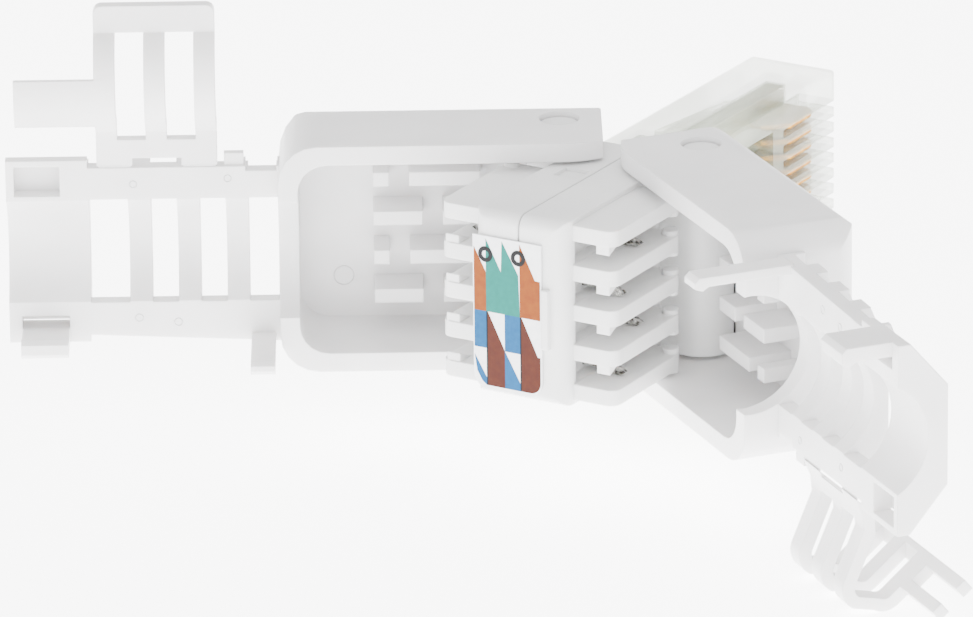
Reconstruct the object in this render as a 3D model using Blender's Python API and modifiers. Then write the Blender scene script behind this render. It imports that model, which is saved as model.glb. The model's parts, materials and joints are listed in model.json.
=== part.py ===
"""Tool-free 8P8C modular plug, opened for wiring: clear nose, wiring block, two hinged shells.

Frame: +X thickness (contact side), +Y insertion direction, +Z width.
The origin is the centre of the flat front face of the nose.
Sizes are in millimetres and become metres through MM.
"""
import math

import bpy
import bmesh
from mathutils import Matrix, Vector

MM = 0.001
COLLECTION = "modular_plug"

# Fits
FIT = 0.1               # running clearance between pieces
SEAM = 0.05             # each side of a closed parting line
OVER = 1.0              # how far a cutter runs past the wall it cuts
SINK = 0.2              # how far a joined piece starts inside its carrier

# Nose
NOSE_WIDTH = 11.68
NOSE_FACE = 3.3         # contact side, from the middle plane
NOSE_BACK = 2.75        # latch side
NOSE_LENGTH = 19.2
NOSE_EDGE = 0.3
CONTACTS = 8
CONTACT_PITCH = 1.02
COMB_SLOT = 0.5
COMB_LENGTH = 6.9
COMB_FLOOR = 0.65       # height of the slot floors above the middle plane
CONTACT_THICK = 0.3
CONTACT_FRONT = 1.9
CONTACT_LENGTH = 4.6
CONTACT_TOP = 2.95
CONTACT_ROUND = 0.9
CONTACT_SLOPE = 1.2
CONTACT_HEEL = 0.8
BAR_LENGTH = 1.3        # cross bar behind the comb
WINDOW_LENGTH = 4.2
WINDOW_SIDE = 1.74      # wall beside the window
WINDOW_DEPTH = 1.7
SOCKET_LENGTH = 3.7
SOCKET_WALL = 0.6

# Circuit board
BOARD_THICK = 1.2
BOARD_SIDE = 0.99       # from its edge to the nose's side
BOARD_FRONT = 1.9
BOARD_SHORT = 2.5       # ends before the block's rear face

# Hinges of the shells
PIVOT_X = 5.0
PIVOT_BEHIND = 1.2      # behind the nose
PIN_RADIUS = 1.15
PIN_RECESS = 0.3
COLUMN_RADIUS = 2.0     # full-height hinge column on each side of the block

# Wiring block
BLOCK_HALF = 3.2
BLOCK_LENGTH = 14.8     # from the nose to the rear face
BLOCK_PLAY = 0.2        # to the shells' side walls
BLOCK_CORNER = 1.0
BLOCK_ROUND = 0.8       # rear edges at the top and bottom
BLOCK_EDGE = 0.25
FINS = 5
FIN_STEP = 0.32         # from the block's top down to the first fin
FIN_THICK = 1.0
FIN_OUT = 6.1
FIN_LENGTH = 8.3
FIN_CORNER = 0.7
SLOT_DEPTH = 0.8        # the wire slots go on into the block
SLOT_LIP = 0.3
LOBE_RADIUS = 0.5
LOBE_HEIGHT = 1.6
TOOTH = 0.55            # ramp under the rear outer corner of a fin
TOOTH_LENGTH = 1.4
TOOTH_WIDTH = 0.9
TOOTH_INSET = 0.4
MARK = 1.6              # small square recess beside the seam
MARK_DEPTH = 0.2
MARK_X = 0.4
MARK_BACK = 4.3

# Slot terminals
IDC_THICK = 0.4
IDC_OUT = 5.3
IDC_PLAY = 0.07         # to the fins
IDC_TAIL = 0.8
IDC_SLIT = 0.36
IDC_TIP = 0.2           # width of a fork's tip
IDC_THROAT = 0.6
IDC_ROOT = 0.5
IDC_CORNER = 0.3
IDC_FIRST = 5.75        # rows of terminals, from the block's rear face
IDC_SECOND = 3.7

# Label
LABEL_WIDTH = 4.75
LABEL_MARGIN = 1.0      # shorter than the block at each end
LABEL_THICK = 0.12
LABEL_CORNER = 1.0
LABEL_SHIFT = -0.72
LABEL_RISE = -0.55
TAB_X = 1.75            # raised tab beside the label
TAB_LOW = -2.2
TAB_WIDTH = 0.45
TAB_HEIGHT = 3.8
TAB_THICK = 0.35

# Shells
SHELL_HALF_WIDTH = 7.3
SHELL_DEPTH = 8.0
SHELL_WALL = 1.2
SHELL_FRONT = 2.6       # in front of the pivot
BOX_SPARE = 3.7         # inside length behind the block, with the rear wall
BOX_ROUND = 1.3
BOX_CORNER = 2.4
RAIL_FACE = 2.3         # rails and collar stand back from the middle plane
RAIL_THICK = 1.0
RAIL_WIDE = 6.0         # the hook-side rail widens towards the box
CAGE_HALF = 5.4
CAGE_OUT = 5.2
CAGE_SIDE = 4.1
CAGE_FLAT = 2.7
CAGE_LENGTH = 11.7
COLLAR_HALF = 5.9
COLLAR_OUT = 5.5
COLLAR_SIDE = 3.1
COLLAR_FLAT = 3.1
COLLAR_LENGTH = 5.0
BORE_RADIUS = 3.75
BORE_X = 0.5
CAGE_WINDOW = 6.7
CAGE_BAR = 1.4
CAGE_BARS = 3
CAGE_PITCH = 3.0
CAGE_OFFSET = 1.85      # from the box to the first bar
LEFT_OPEN = 58.8        # degrees, as the photograph shows
RIGHT_OPEN = 53.2

# Press bars inside a shell
PRESS_BEGIN = 8.7       # both from the block's rear face
PRESS_END = 2.1
PRESS_PLAY = 0.32       # to the fins
PRESS_INNER = 4.0
PRESS_GAP = 1.25

# Hooks and catches
HOOK_NOSE = 0.9         # length of the thick end of a hook
HOOK_STEP = 0.5
HOOK_LIP = 0.25
HOOK_ROUND = 0.3
COLLAR_HOOK_INSET = 1.3
COLLAR_HOOK_LENGTH = 2.9
COLLAR_HOOK_THICK = 0.9
COLLAR_HOOK_REACH = 3.2
SLIT_WIDTH = 0.8
SLIT_DEPTH = 1.6
POCKET_INSET = 1.7
POCKET_LENGTH = 2.8
POCKET_WIDTH = 1.9
POCKET_DEPTH = 1.2
POCKET_WALL = 0.4
ARM_INSET = 0.3         # this one and the next ones are measured from the box
ARM_LENGTH = 1.5
ARM_OUT = 6.05
ARM_THICK = 0.6
ARM_REACH = 6.2
NOTCH_INSET = 0.1
NOTCH_LENGTH = 1.9
STUD_INSET = 2.1
STUD_LENGTH = 1.2
STUD_OUT = 0.8
STUD_DEPTH = 0.7

# Straps, drawn folded into the cradle
STRAP_INSET = 3.7       # from the box
STRAP_BAR = 1.3
STRAP_GAP = 1.75
STRAP_THICK = 0.8
STRAP_REACH = 10.3
STRAP_ROOT = 1.7
STRAP_WINDOW = 6.9
STRAP_NOTCH = 3.0
STRAP_NOTCH_DEPTH = 0.5
STRAP_CORNER = 0.5
TONGUE_LENGTH = 4.9
TONGUE_START = 2.85     # from the hinge line
TONGUE_WIDTH = 3.3

# Right strap, drawn bent as the photograph shows it: X and drop are from its hinge line
BEND_ONE = (0.6, 5.7)   # centre of the first bend
BEND_ONE_RADIUS = 1.45
BEND_TWO = (1.9, 6.1)
BEND_TWO_RADIUS = 1.35
LEG_ANGLE = 203.5       # direction that the first leg faces, degrees
TURN_ANGLE = 122.0
FORK_ANGLE = 50.7
LEG_START = (0.55, 2.15)
KNEE = (0.45, 1.2)
LEG_LENGTH = 3.5
FORK_REACH = 4.5
FORK_WIDTH = 1.2
FORK_START = 0.4

# Latch
LATCH_THICK = 0.9
LATCH_FRONT = 1.0
LATCH_SHORT = 4.6       # ends before the nose's rear face
LATCH_WIDE = 6.0
LATCH_NARROW = 3.3
LATCH_SHOULDER = 7.6
LATCH_RISE = 1.9
LATCH_KNEE = 0.6        # share of the rise that is reached at the shoulders
LATCH_NOSE = 0.3
LATCH_GAP = 0.2

# Values worked out from the driving sizes
HALF_WIDTH = NOSE_WIDTH / 2
WINDOW_WIDTH = NOSE_WIDTH - 2 * WINDOW_SIDE
SIDE_INNER = SHELL_HALF_WIDTH - SHELL_WALL
PIVOT_Y = -(NOSE_LENGTH + PIVOT_BEHIND)
BLOCK_DEPTH = BLOCK_LENGTH - PIVOT_BEHIND
IDC_FRONT = BLOCK_DEPTH - IDC_FIRST
IDC_REAR = BLOCK_DEPTH - IDC_SECOND
PRESS_FRONT = BLOCK_DEPTH - PRESS_BEGIN
PRESS_REAR = BLOCK_DEPTH - PRESS_END
BOX_REAR = BLOCK_DEPTH + BOX_SPARE
CAGE_FIRST = BOX_REAR + CAGE_OFFSET
COLLAR_START = BOX_REAR + CAGE_LENGTH
SHELL_REAR = COLLAR_START + COLLAR_LENGTH
COLLAR_HOOK_START = COLLAR_START + COLLAR_HOOK_INSET
POCKET_START = COLLAR_START + POCKET_INSET
ARM_START = BOX_REAR + ARM_INSET
NOTCH_START = BOX_REAR + NOTCH_INSET
NOTCH_END = NOTCH_START + NOTCH_LENGTH
STUD_START = BOX_REAR + STUD_INSET
STRAP_START = BOX_REAR + STRAP_INSET
LATCH_LENGTH = NOSE_LENGTH - LATCH_FRONT - LATCH_SHORT
BOARD_HALF = BOARD_THICK / 2
BOARD_WIDTH = NOSE_WIDTH - 2 * BOARD_SIDE
BLOCK_TOP = SIDE_INNER - BLOCK_PLAY
BLOCK_FRONT = NOSE_LENGTH + FIT
BLOCK_REAR = NOSE_LENGTH + BLOCK_LENGTH
BOARD_REAR = BLOCK_REAR - BOARD_SHORT
FIN_PITCH = 2 * (BLOCK_TOP - FIN_STEP - FIN_THICK / 2) / (FINS - 1)
SLOT_WIDTH = FIN_PITCH - FIN_THICK
IDC_WIDTH = SLOT_WIDTH - 2 * IDC_PLAY
IDC_MOUTH = IDC_WIDTH - 2 * IDC_TIP
PRESS_THICK = SLOT_WIDTH - 2 * PRESS_PLAY
LABEL_HEIGHT = 2 * (BLOCK_TOP - LABEL_MARGIN)
FIN_REAR_Y = -(BLOCK_REAR - BLOCK_CORNER)
FLOOR_X = SHELL_DEPTH - SHELL_WALL
RIM_X = FIT
HINGE_X = RAIL_FACE - SEAM
STRAP_RADIUS = BORE_RADIUS - FIT - SEAM
HINGE_Z = -(CAGE_HALF + SEAM)
STRAP_LENGTH = 3 * STRAP_BAR + 2 * STRAP_GAP
PIVOT = Vector((PIVOT_X, PIVOT_Y, 0))

WHITE = ("moulded_white", "#ECECEC", 0.38, 0.0)
WHITE_BLOCK = ("moulded_white_block", "#E6E6E6", 0.42, 0.0)
CLEAR = ("moulded_clear", "#DCE0DA", 0.12, 0.0)
GOLD = ("gold_plate", "#C89650", 0.28, 1.0)
TIN = ("tin_plate", "#B9B7B2", 0.35, 1.0)
GREEN = ("board_laminate", "#CBD0BE", 0.55, 0.0)
PAPER = ("coated_paper", "#5ECDB0", 0.5, 0.0)


def linear(value):
    """One sRGB channel, 0 to 1, as linear light."""
    return value / 12.92 if value <= 0.04045 else ((value + 0.055) / 1.055) ** 2.4


def finish(spec):
    """A Principled material, made once for each name."""
    name, colour, roughness, metallic = spec
    material = bpy.data.materials.get(name)
    if material:
        return material
    material = bpy.data.materials.new(name)
    material.use_nodes = True
    channels = [int(colour[i:i + 2], 16) / 255 for i in (1, 3, 5)]
    shader = material.node_tree.nodes["Principled BSDF"]
    shader.inputs["Base Color"].default_value = [linear(c) for c in channels] + [1.0]
    shader.inputs["Roughness"].default_value = roughness
    shader.inputs["Metallic"].default_value = metallic
    return material


def clear_scene():
    for item in list(bpy.data.objects):
        bpy.data.objects.remove(item)


def new_collection(name):
    group = bpy.data.collections.new(name)
    bpy.context.scene.collection.children.link(group)
    return group


clear_scene()
PARTS = new_collection(COLLECTION)
CUTTERS = new_collection(COLLECTION + "_cutters")


def guide(item):
    """Puts a construction object among the cutters."""
    CUTTERS.objects.link(item)
    item.hide_render = True
    item.display_type = "WIRE"
    return item


def box(low, high):
    """A box between two corners in millimetres."""
    mesh = bpy.data.meshes.new("box")
    shape = bmesh.new()
    bmesh.ops.create_cube(shape, size=1.0)
    size = [(b - a) * MM for a, b in zip(low, high)]
    middle = [(a + b) / 2 * MM for a, b in zip(low, high)]
    bmesh.ops.scale(shape, vec=size, verts=shape.verts)
    bmesh.ops.translate(shape, vec=middle, verts=shape.verts)
    shape.to_mesh(mesh)
    shape.free()
    return guide(bpy.data.objects.new("box", mesh))


def cylinder(radius, low, high, axis, at, segments=40):
    """A cylinder along Y or Z; at gives the other two coordinates in order."""
    mesh = bpy.data.meshes.new("cylinder")
    shape = bmesh.new()
    bmesh.ops.create_cone(
        shape, cap_ends=True, segments=segments,
        radius1=radius * MM, radius2=radius * MM, depth=(high - low) * MM,
    )
    middle = (low + high) / 2
    if axis == "Y":
        bmesh.ops.rotate(shape, matrix=Matrix.Rotation(math.radians(90), 3, "X"), verts=shape.verts)
        place = (at[0], middle, at[1])
    else:
        place = (at[0], at[1], middle)
    bmesh.ops.translate(shape, vec=[c * MM for c in place], verts=shape.verts)
    shape.to_mesh(mesh)
    shape.free()
    return guide(bpy.data.objects.new("cylinder", mesh))


def arc(centre, radius, start, end, steps=8):
    """Points along an arc, angles in degrees."""
    points = []
    for step in range(steps + 1):
        angle = math.radians(start + (end - start) * step / steps)
        points.append((centre[0] + radius * math.cos(angle), centre[1] + radius * math.sin(angle)))
    return points


# How a flat outline stands: the matrix that takes outline (a, b, extrusion) to (X, Y, Z)
PLANES = {
    "XY": Matrix(((1, 0, 0), (0, 1, 0), (0, 0, 1))),
    "XZ": Matrix(((1, 0, 0), (0, 0, -1), (0, 1, 0))),
    "YZ": Matrix(((0, 0, 1), (1, 0, 0), (0, 1, 0))),
}


def prism(points, low, high, plane="XY"):
    """A flat outline, drawn in a plane, extruded between two distances from it."""
    curve = bpy.data.curves.new("prism", "CURVE")
    curve.dimensions = "2D"
    curve.fill_mode = "BOTH"
    curve.extrude = (high - low) / 2 * MM
    spline = curve.splines.new("POLY")
    spline.points.add(len(points) - 1)
    for point, (a, b) in zip(spline.points, points):
        point.co = (a * MM, b * MM, 0, 1)
    spline.use_cyclic_u = True
    drawn = bpy.data.objects.new("prism", curve)
    CUTTERS.objects.link(drawn)
    bpy.context.view_layer.update()
    graph = bpy.context.evaluated_depsgraph_get()
    mesh = bpy.data.meshes.new_from_object(drawn.evaluated_get(graph))
    bpy.data.objects.remove(drawn)
    shape = bmesh.new()
    shape.from_mesh(mesh)
    bmesh.ops.remove_doubles(shape, verts=shape.verts, dist=1e-7)
    bmesh.ops.dissolve_limit(
        shape, angle_limit=math.radians(0.5), verts=shape.verts, edges=shape.edges
    )
    bmesh.ops.translate(shape, vec=(0, 0, (low + high) / 2 * MM), verts=shape.verts)
    turn = PLANES[plane]
    if plane == "XZ":
        bmesh.ops.scale(shape, vec=(1, 1, -1), verts=shape.verts)
    bmesh.ops.transform(shape, matrix=turn.to_4x4(), verts=shape.verts)
    bmesh.ops.recalc_face_normals(shape, faces=shape.faces)
    shape.to_mesh(mesh)
    shape.free()
    return guide(bpy.data.objects.new("prism", mesh))


def boolean(target, operation, others):
    """Adds one Boolean modifier for each of the other shapes."""
    for other in others:
        modifier = target.modifiers.new(operation.lower(), "BOOLEAN")
        modifier.operation = operation
        modifier.solver = "EXACT"
        modifier.object = other


def join(target, *others):
    boolean(target, "UNION", others)


def cut(target, *others):
    boolean(target, "DIFFERENCE", others)


def common(target, *others):
    boolean(target, "INTERSECT", others)


def bevel(target, width, segments=2, angle=40):
    """Rounds the edges sharper than the angle."""
    modifier = target.modifiers.new("bevel", "BEVEL")
    modifier.width = width * MM
    modifier.segments = segments
    modifier.limit_method = "ANGLE"
    modifier.angle_limit = math.radians(angle)
    modifier.harden_normals = False


def settle(target):
    """Applies the modifiers: returns the finished mesh and removes the object."""
    bpy.context.view_layer.update()
    graph = bpy.context.evaluated_depsgraph_get()
    mesh = bpy.data.meshes.new_from_object(target.evaluated_get(graph))
    bpy.data.objects.remove(target)
    shape = bmesh.new()
    shape.from_mesh(mesh)
    bmesh.ops.remove_doubles(shape, verts=shape.verts, dist=1e-7)
    bmesh.ops.dissolve_degenerate(shape, edges=shape.edges, dist=1e-7)
    shape.to_mesh(mesh)
    shape.free()
    mesh.shade_smooth()
    mesh.set_sharp_from_angle(angle=math.radians(30))
    return mesh


def part(name, mesh, spec, origin=(0, 0, 0), parent=None, turn=None):
    """Makes a finished piece from a mesh drawn about the given origin, in millimetres."""
    mesh.name = name
    mesh.materials.clear()
    mesh.materials.append(finish(spec))
    item = bpy.data.objects.new(name, mesh)
    PARTS.objects.link(item)
    item.location = [c * MM for c in origin]
    if turn is not None:
        item.rotation_euler = turn
    if parent is not None:
        item.parent = parent
    return item


def moved_to_origin(mesh, origin):
    """Shifts a mesh so that the given point becomes its own origin."""
    mesh.transform(Matrix.Translation([-c * MM for c in origin]))
    return mesh


def back(distance):
    """World Y of a point that lies a distance behind the shell pivots."""
    return PIVOT_Y - distance


def contact_height(index):
    """Z of a contact, counted from the top."""
    return (CONTACTS - 1) / 2 * CONTACT_PITCH - index * CONTACT_PITCH


def slot_heights():
    """Z of the wire slots between the fins, from the top."""
    return [(FINS - 2) / 2 * FIN_PITCH - row * FIN_PITCH for row in range(FINS - 1)]


def nose_housing():
    """Clear nose: comb slots for the contacts, a window and the socket for the block's tongues."""
    body = box((-NOSE_BACK, -NOSE_LENGTH, -HALF_WIDTH), (NOSE_FACE, 0, HALF_WIDTH))
    bevel(body, NOSE_EDGE)
    out = NOSE_FACE + OVER
    for index in range(CONTACTS):
        z = contact_height(index)
        cut(body, box((COMB_FLOOR, -COMB_LENGTH, z - COMB_SLOT / 2), (out, OVER, z + COMB_SLOT / 2)))
    window_front = COMB_LENGTH + BAR_LENGTH
    cut(body, box(
        (NOSE_FACE - WINDOW_DEPTH, -(window_front + WINDOW_LENGTH), -WINDOW_WIDTH / 2),
        (out, -window_front, WINDOW_WIDTH / 2),
    ))
    rear = -(NOSE_LENGTH + OVER)
    half = BOARD_HALF + FIT
    across = BOARD_WIDTH / 2 + FIT
    cut(body, box((-half, rear, -across), (half, -(BOARD_FRONT - FIT), across)))
    inside = NOSE_BACK - SOCKET_WALL
    width = HALF_WIDTH - SOCKET_WALL
    cut(body, box((-inside, rear, -width), (inside, -(NOSE_LENGTH - SOCKET_LENGTH), width)))
    part("nose_housing", settle(body), CLEAR)


def contacts():
    """Gold blades in the comb, all from one mesh."""
    foot = BOARD_HALF + SEAM * 2
    front = -CONTACT_FRONT
    rear = front - CONTACT_LENGTH
    nose = arc((CONTACT_TOP - CONTACT_ROUND, front - CONTACT_ROUND), CONTACT_ROUND, 90, 0, 5)
    heel = [(CONTACT_TOP, rear + CONTACT_SLOPE), (foot + CONTACT_HEEL, rear), (foot, rear)]
    outline = [(foot, front)] + nose + heel
    blade = prism(outline, -CONTACT_THICK / 2, CONTACT_THICK / 2)
    mesh = settle(blade)
    for index in range(CONTACTS):
        part(f"contact_{index + 1}", mesh, GOLD, origin=(0, 0, contact_height(index)))


def circuit_board():
    """Laminate that carries the contacts in the nose and the terminals in the block."""
    board = box(
        (-BOARD_HALF, -BOARD_REAR, -BOARD_WIDTH / 2), (BOARD_HALF, -BOARD_FRONT, BOARD_WIDTH / 2)
    )
    part("circuit_board", settle(board), GREEN)


def fin_outline():
    """One fin seen from above, with rounded outer corners."""
    inner = BLOCK_HALF - SINK
    front = FIN_REAR_Y + FIN_LENGTH
    rear_arc = arc((FIN_OUT - FIN_CORNER, FIN_REAR_Y + FIN_CORNER), FIN_CORNER, -90, 0, 4)
    front_arc = arc((FIN_OUT - FIN_CORNER, front - FIN_CORNER), FIN_CORNER, 0, 90, 4)
    return [(inner, FIN_REAR_Y)] + rear_arc + front_arc + [(inner, front)]


def block_mesh(tabbed):
    """Half of the wiring block for the +X side: body, wire slots, fins, hinge column and pins.

    The half with the label's tab stays as drawn. The other one has a mark on its underside and is
    turned over.
    """
    front = -BLOCK_FRONT
    rear = -BLOCK_REAR
    corner = arc((BLOCK_HALF - BLOCK_CORNER, rear + BLOCK_CORNER), BLOCK_CORNER, -90, 0, 6)
    outline = [(SEAM, front), (SEAM, rear)] + corner + [(BLOCK_HALF, front)]
    body = prism(outline, -BLOCK_TOP, BLOCK_TOP)
    edge = rear + BLOCK_ROUND
    side = (
        [(front + OVER, -BLOCK_TOP), (front + OVER, BLOCK_TOP)]
        + arc((edge, BLOCK_TOP - BLOCK_ROUND), BLOCK_ROUND, 90, 180, 5)
        + arc((edge, -BLOCK_TOP + BLOCK_ROUND), BLOCK_ROUND, 180, 270, 5)
    )
    common(body, prism(side, -OVER, BLOCK_HALF + OVER, "YZ"))
    bevel(body, BLOCK_EDGE, 2, 60)
    fin_front = FIN_REAR_Y + FIN_LENGTH
    slot_half = SLOT_WIDTH / 2 - SEAM
    for z in slot_heights():
        cut(body, box(
            (BLOCK_HALF - SLOT_DEPTH, FIN_REAR_Y + SLOT_LIP, z - slot_half),
            (BLOCK_HALF + OVER, fin_front - SLOT_LIP, z + slot_half),
        ))
    for row in range(FINS):
        z = (FINS - 1) / 2 * FIN_PITCH - row * FIN_PITCH
        join(body, prism(fin_outline(), z - FIN_THICK / 2, z + FIN_THICK / 2))
        low = max(z - LOBE_HEIGHT / 2, -BLOCK_TOP + SEAM)
        high = min(z + LOBE_HEIGHT / 2, BLOCK_TOP - SEAM)
        join(body, cylinder(
            LOBE_RADIUS, low, high, "Z", (FIN_OUT - LOBE_RADIUS - SEAM, fin_front - LOBE_RADIUS - SEAM), 16
        ))
        if row < FINS - 1:
            bottom = z - FIN_THICK / 2
            profile = [
                (FIN_REAR_Y + SEAM, bottom + SINK), (FIN_REAR_Y + SEAM, bottom - TOOTH),
                (FIN_REAR_Y + TOOTH_LENGTH, bottom), (FIN_REAR_Y + TOOTH_LENGTH, bottom + SINK),
            ]
            tooth_out = FIN_OUT - TOOTH_INSET
            join(body, prism(profile, tooth_out - TOOTH_WIDTH, tooth_out, "YZ"))
    top = BLOCK_TOP - SEAM
    join(body, cylinder(COLUMN_RADIUS, -top, top, "Z", (PIVOT_X, PIVOT_Y)))
    join(body, box((BLOCK_HALF - SINK, PIVOT_Y - COLUMN_RADIUS, -top), (PIVOT_X, front - SEAM, top)))
    pin_end = SHELL_HALF_WIDTH - PIN_RECESS
    join(body, cylinder(PIN_RADIUS, -pin_end, pin_end, "Z", (PIVOT_X, PIVOT_Y)))
    tongue_half = HALF_WIDTH - SOCKET_WALL - FIT
    join(body, box(
        (BOARD_HALF + FIT, front - SINK, -tongue_half),
        (NOSE_BACK - SOCKET_WALL - FIT, front + SOCKET_LENGTH - FIT, tongue_half),
    ))
    board_half_width = BOARD_WIDTH / 2 + FIT
    cut(body, box(
        (-OVER, -(BOARD_REAR + FIT), -board_half_width),
        (BOARD_HALF + FIT, front + SOCKET_LENGTH, board_half_width),
    ))
    for z, behind in zip(slot_heights(), (IDC_FRONT, IDC_REAR, IDC_FRONT, IDC_REAR)):
        y = back(behind)
        half_y = IDC_THICK / 2 + SEAM
        half_z = IDC_TAIL / 2 + SEAM
        cut(body, box((0, y - half_y, z - half_z), (BLOCK_HALF + SINK, y + half_y, z + half_z)))
    if tabbed:
        join(body, box(
            (TAB_X, rear - TAB_THICK, TAB_LOW), (TAB_X + TAB_WIDTH, rear + SINK, TAB_LOW + TAB_HEIGHT)
        ))
    else:
        cut(body, box(
            (MARK_X, back(MARK_BACK + MARK), -BLOCK_TOP - OVER),
            (MARK_X + MARK, back(MARK_BACK), -BLOCK_TOP + MARK_DEPTH),
        ))
    return settle(body)


def wiring_block():
    """Two halves, the left one turned half way round about the plug's axis."""
    part("block_half_right", block_mesh(True), WHITE_BLOCK)
    part("block_half_left", block_mesh(False), WHITE_BLOCK, turn=(0, math.pi, 0))


def terminals():
    """Forked slot terminals: four on each side, staggered front and rear."""
    half = IDC_WIDTH / 2
    tail = IDC_TAIL / 2
    slit = IDC_SLIT / 2
    mouth = IDC_MOUTH / 2
    foot = BOARD_HALF + FIT
    shoulder = BLOCK_HALF + FIT
    throat = IDC_OUT - IDC_THROAT
    root = shoulder + IDC_ROOT
    corner = IDC_OUT - IDC_CORNER
    outline = [
        (foot, -tail), (shoulder, -tail), (shoulder, -half), (corner, -half), (IDC_OUT, -mouth),
        (throat, -slit), (root, -slit), (root, slit), (throat, slit), (IDC_OUT, mouth),
        (corner, half), (shoulder, half), (shoulder, tail), (foot, tail),
    ]
    mesh = settle(prism(outline, -IDC_THICK / 2, IDC_THICK / 2, "XZ"))
    number = 1
    for turn in (0, math.pi):
        for z, behind in zip(slot_heights(), (IDC_FRONT, IDC_REAR, IDC_FRONT, IDC_REAR)):
            height = z if turn == 0 else -z
            part(f"idc_{number}", mesh, TIN, origin=(0, back(behind), height), turn=(0, turn, 0))
            number += 1


def wiring_label():
    """Label on the rear face and the small moulded tab at its edge."""
    low = LABEL_SHIFT - LABEL_WIDTH / 2
    high = LABEL_SHIFT + LABEL_WIDTH / 2
    top = LABEL_RISE + LABEL_HEIGHT / 2
    middle = LABEL_RISE - LABEL_HEIGHT / 2 + LABEL_CORNER
    outline = (
        [(low, top)]
        + arc((low + LABEL_CORNER, middle), LABEL_CORNER, 180, 270, 5)
        + arc((high - LABEL_CORNER, middle), LABEL_CORNER, 270, 360, 5)
        + [(high, top)]
    )
    back_face = -(BLOCK_REAR + SEAM)
    label = prism(outline, back_face - LABEL_THICK, back_face, "XZ")
    part("wiring_label", settle(label), PAPER)


def half_octagon(half, out, side, flat):
    """Section of the cage or collar: half an octagon that stands on the rail face."""
    return [
        (RAIL_FACE, -half), (side, -half), (out, -flat), (out, flat), (side, half), (RAIL_FACE, half)
    ]


def shell_box_body():
    """The deep front part of a shell, with rounded outer edges and an arched rim at the hinge."""
    rim_radius = PIVOT_X - FIT
    front = back(-SHELL_FRONT)
    start = 180 - math.degrees(math.asin(SHELL_FRONT / rim_radius))
    rim = arc((PIVOT_X, PIVOT_Y), rim_radius, 180, start, 5)
    outer = SHELL_DEPTH
    rear = back(BOX_REAR)
    side = (
        [(RIM_X, rear)] + rim
        + arc((outer - BOX_ROUND, front - BOX_ROUND), BOX_ROUND, 90, 0, 4)
        + arc((outer - BOX_CORNER, rear + BOX_CORNER), BOX_CORNER, 0, -90, 5)
    )
    body = prism(side, -SHELL_HALF_WIDTH, SHELL_HALF_WIDTH)
    half = SHELL_HALF_WIDTH
    section = (
        [(-OVER, -half)] + arc((outer - BOX_ROUND, -half + BOX_ROUND), BOX_ROUND, -90, 0, 4)
        + arc((outer - BOX_ROUND, half - BOX_ROUND), BOX_ROUND, 0, 90, 4) + [(-OVER, half)]
    )
    common(body, prism(section, rear - OVER, front + OVER, "XZ"))
    plan = (
        [(front + OVER, -half)] + [(front + OVER, half)]
        + arc((rear + BOX_CORNER, half - BOX_CORNER), BOX_CORNER, 90, 180, 5)
        + arc((rear + BOX_CORNER, -half + BOX_CORNER), BOX_CORNER, 180, 270, 5)
    )
    common(body, prism(plan, -OVER, outer + OVER, "YZ"))
    return body


def cavity():
    """The hollow of the box, open to the front and to the mating plane."""
    front = back(-SHELL_FRONT) + OVER
    rear = back(BOX_REAR - SHELL_WALL)
    half = SIDE_INNER
    corner = BOX_CORNER - SHELL_WALL / 2
    plan = (
        [(front, -half)] + [(front, half)]
        + arc((rear + corner, half - corner), corner, 90, 180, 5)
        + arc((rear + corner, -half + corner), corner, 180, 270, 5)
    )
    return prism(plan, -OVER, FLOOR_X, "YZ")


def press_bars():
    """Ribs that push the wires into the terminals, with a gap over each terminal."""
    bars = []
    for z, behind in zip(slot_heights(), (IDC_FRONT, IDC_REAR, IDC_FRONT, IDC_REAR)):
        spans = ((PRESS_FRONT, behind - PRESS_GAP / 2), (behind + PRESS_GAP / 2, PRESS_REAR))
        for start, end in spans:
            bars.append(box(
                (PRESS_INNER, back(end), z - PRESS_THICK / 2),
                (FLOOR_X + SINK, back(start), z + PRESS_THICK / 2),
            ))
    return bars


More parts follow.
